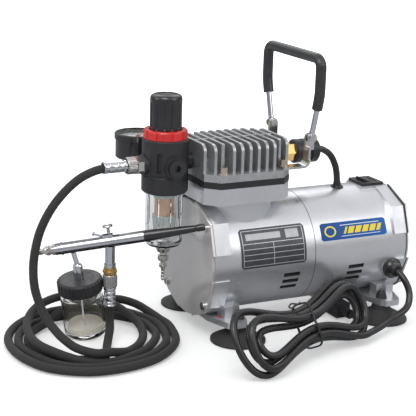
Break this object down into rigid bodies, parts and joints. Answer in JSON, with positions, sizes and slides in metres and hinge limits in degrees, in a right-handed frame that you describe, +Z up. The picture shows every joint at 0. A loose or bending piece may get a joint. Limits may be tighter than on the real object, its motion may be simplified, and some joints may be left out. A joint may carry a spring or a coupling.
{
  "type": "airbrush compressor",
  "caption": "Small piston compressor on suction feet, with filter regulator, gauge, folding handle, mains cord and an airbrush on a coiled hose.",
  "frame": {"origin": "on the floor plane under the feet, midway between the four suction feet, below the motor shaft", "axes": "+X along the motor shaft from the front cover to the rear cover, +Y to the side of the gauge, +Z up"},
  "size_m": [0.3719, 0.2222, 0.2462],
  "materials": {
    "cast_silver": "sand-cast aluminium under satin silver paint",
    "cover_plate": "polished flat plate",
    "fin_aluminium": "machined and die-cast aluminium",
    "nickel": "bright nickel plate",
    "chrome": "chrome plate",
    "zinc_screw": "zinc plated steel",
    "black_plastic": "moulded, satin",
    "black_gloss": "anodised and lacquered black",
    "black_rubber": "soft moulded rubber",
    "grip_rubber": "soft PVC sleeve",
    "cord_pvc": "smooth PVC sheath",
    "braid": "woven braid over a rubber hose",
    "red_plastic": "moulded red nylon",
    "clear_bowl": "clear polycarbonate",
    "jar_glass": "clear glass",
    "lens": "clear acrylic",
    "sinter": "porous sintered bronze",
    "brass": "machined brass",
    "dial_white": "printed white dial",
    "label_film": null,
    "steel": "ground steel",
    "iron": "cast iron",
    "lamination": "stacked steel laminations",
    "seal": "filled PTFE",
    "cap_white": "film capacitor case",
    "valve_black": "blackened steel"
  },
  "bodies": {
    "compressor": {"crankcase": "cast_silver", "front_cover": "cover_plate", "cover_screws": "nickel", "motor_housing": "cast_silver", "rear_gasket": "black_rubber", "rear_cover": "cast_silver", "labels": "label_film", "cylinder_sleeve": "iron", "valve_plate": "valve_black", "cylinder_head": "fin_aluminium", "head_bolts": "zinc_screw", "handle_brackets": "chrome", "switch_fitting": "brass", "pressure_switch": "black_plastic", "switch_cable": "cord_pvc", "rocker_frame": "black_plastic", "stator": "lamination", "shaft_bearings": "steel", "capacitor": "cap_white", "strain_relief": "black_gloss", "power_cord": "cord_pvc", "cord_tie": "cord_pvc", "mains_plug": "black_plastic", "suction_feet": "black_rubber", "air_fittings": "nickel", "regulator_body": "black_plastic", "regulator_spring": "steel", "lock_ring": "red_plastic", "gauge_case": "black_gloss", "gauge_dial": "dial_white", "gauge_lens": "lens", "filter_bowl": "clear_bowl", "filter_element": "sinter", "port_plug": "black_gloss", "hose_ends": "nickel", "air_hose": "braid", "airbrush_body": "chrome", "airbrush_nozzle": "nickel", "airbrush_handle": "black_gloss", "hose_adapter": "brass", "siphon_tube": "chrome", "jar_cap": "black_plastic", "jar": "jar_glass"},
    "motor_rotor": {"motor_shaft": "steel", "rotor": "lamination", "cooling_fan": "black_plastic", "crank_disc": "iron"},
    "piston_rod": {"connecting_rod": "fin_aluminium", "rod_bearing": "steel", "piston_seal": "seal"},
    "handle": {"handle_rod": "chrome", "handle_grip": "grip_rubber"},
    "power_rocker": {"rocker": "black_gloss"},
    "adjusting_spindle": {"regulator_spindle": "steel"},
    "adjusting_knob": {"regulator_knob": "black_gloss"},
    "needle_pointer": {"gauge_needle": "red_plastic"},
    "drain": {"drain_valve": "nickel"},
    "brush_valve_stem": {"valve_stem": "chrome"},
    "brush_trigger": {"trigger": "nickel"},
    "brush_needle": {"needle": "steel"}
  },
  "joints": [
    {"name": "shaft_spin", "type": "hinge", "parent": "compressor", "child": "motor_rotor", "pos_m": [0, 0, 0.065], "axis": [1, 0, 0], "continuous": true},
    {"name": "crank_pin_turn", "type": "hinge", "parent": "motor_rotor", "child": "piston_rod", "pos_m": [-0.058, 0, 0.0694], "axis": [1, 0, 0], "continuous": true},
    {"name": "handle_fold", "type": "hinge", "parent": "compressor", "child": "handle", "pos_m": [0, 0, 0.1715], "axis": [0, 1, 0], "range_deg": [-80, 105]},
    {"name": "rocker_tilt", "type": "hinge", "parent": "compressor", "child": "power_rocker", "pos_m": [0.0835, 0, 0.1164], "axis": [0, -1, 0], "range_deg": [0, 14]},
    {"name": "pressure_adjust", "type": "hinge", "parent": "compressor", "child": "adjusting_spindle", "pos_m": [-0.1235, 0, 0.18], "axis": [0, 0, 1], "range_deg": [-540, 540]},
    {"name": "knob_unlock", "type": "slide", "parent": "adjusting_spindle", "child": "adjusting_knob", "axis": [0, 0, 1], "range_m": [0, 0.004]},
    {"name": "gauge_pointer_turn", "type": "hinge", "parent": "compressor", "child": "needle_pointer", "pos_m": [-0.1255, 0.054, 0.1625], "axis": [0, 0, -1], "range_deg": [0, 270]},
    {"name": "drain_push", "type": "slide", "parent": "compressor", "child": "drain", "axis": [0, 0, 1], "range_m": [0, 0.0025]},
    {"name": "trigger_press", "type": "slide", "parent": "compressor", "child": "brush_valve_stem", "axis": [0.1602, -0.0756, -0.9842], "range_m": [0, 0.0018]},
    {"name": "trigger_pull", "type": "hinge", "parent": "brush_valve_stem", "child": "brush_trigger", "pos_m": [-0.1796, -0.01043, 0.09746], "axis": [0.4267, 0.9044, 0], "range_deg": [0, 18]},
    {"name": "needle_draw", "type": "slide", "parent": "compressor", "child": "brush_needle", "axis": [0.8901, -0.4199, 0.1772], "range_m": [0, 0.0045]}
  ],
  "couplings": [
    {"joint": "crank_pin_turn", "follows": "shaft_spin", "ratio": -1},
    {"joint": "needle_draw", "follows": "trigger_pull", "m_per_rad": 0.012}
  ]
}
